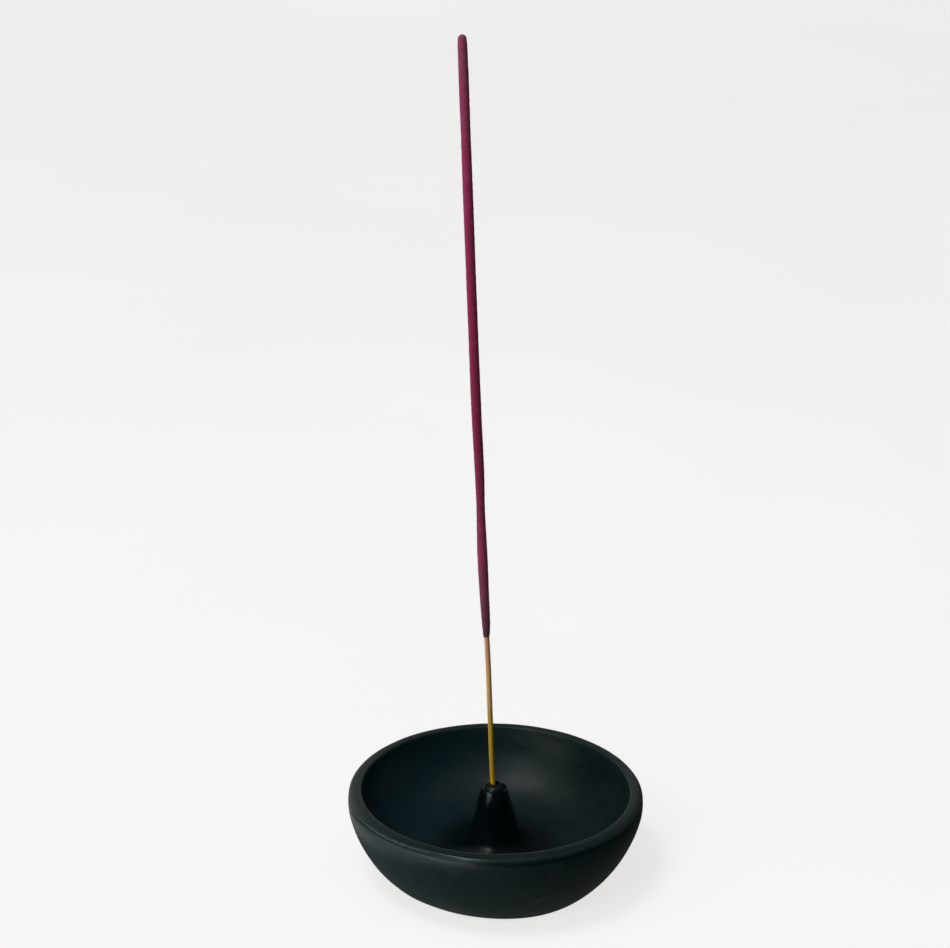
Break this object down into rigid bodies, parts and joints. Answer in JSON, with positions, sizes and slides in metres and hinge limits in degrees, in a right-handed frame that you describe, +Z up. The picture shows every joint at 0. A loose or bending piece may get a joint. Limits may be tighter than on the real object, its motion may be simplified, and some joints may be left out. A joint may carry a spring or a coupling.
{
  "type": "incense stick burner",
  "caption": "Round black stone bowl with a drilled central post that holds a bamboo-core incense stick upright over the bowl, which catches the ash.",
  "frame": {"origin": "centre of the flat underside of the bowl, on the surface it stands on", "axes": "+Z up along the axis of the bowl and its socket; the stick leans in its socket towards -X"},
  "size_m": [0.1004, 0.1004, 0.2844],
  "materials": {
    "black_stone": "hand-turned, rubbed to a satin polish",
    "dyed_bamboo": "split bamboo, dyed yellow, bare",
    "incense_paste": "dry rolled paste of wood powder, dyed magenta, matte and granular"
  },
  "bodies": {
    "bowl": {"bowl": "black_stone"},
    "stick": {"bamboo_core": "dyed_bamboo", "incense_coating": "incense_paste"}
  },
  "joints": [
    {"name": "stick_lift", "type": "slide", "parent": "bowl", "child": "stick", "axis": [-0.0511, 0, 0.9987], "range_m": [0, 0.03]}
  ]
}
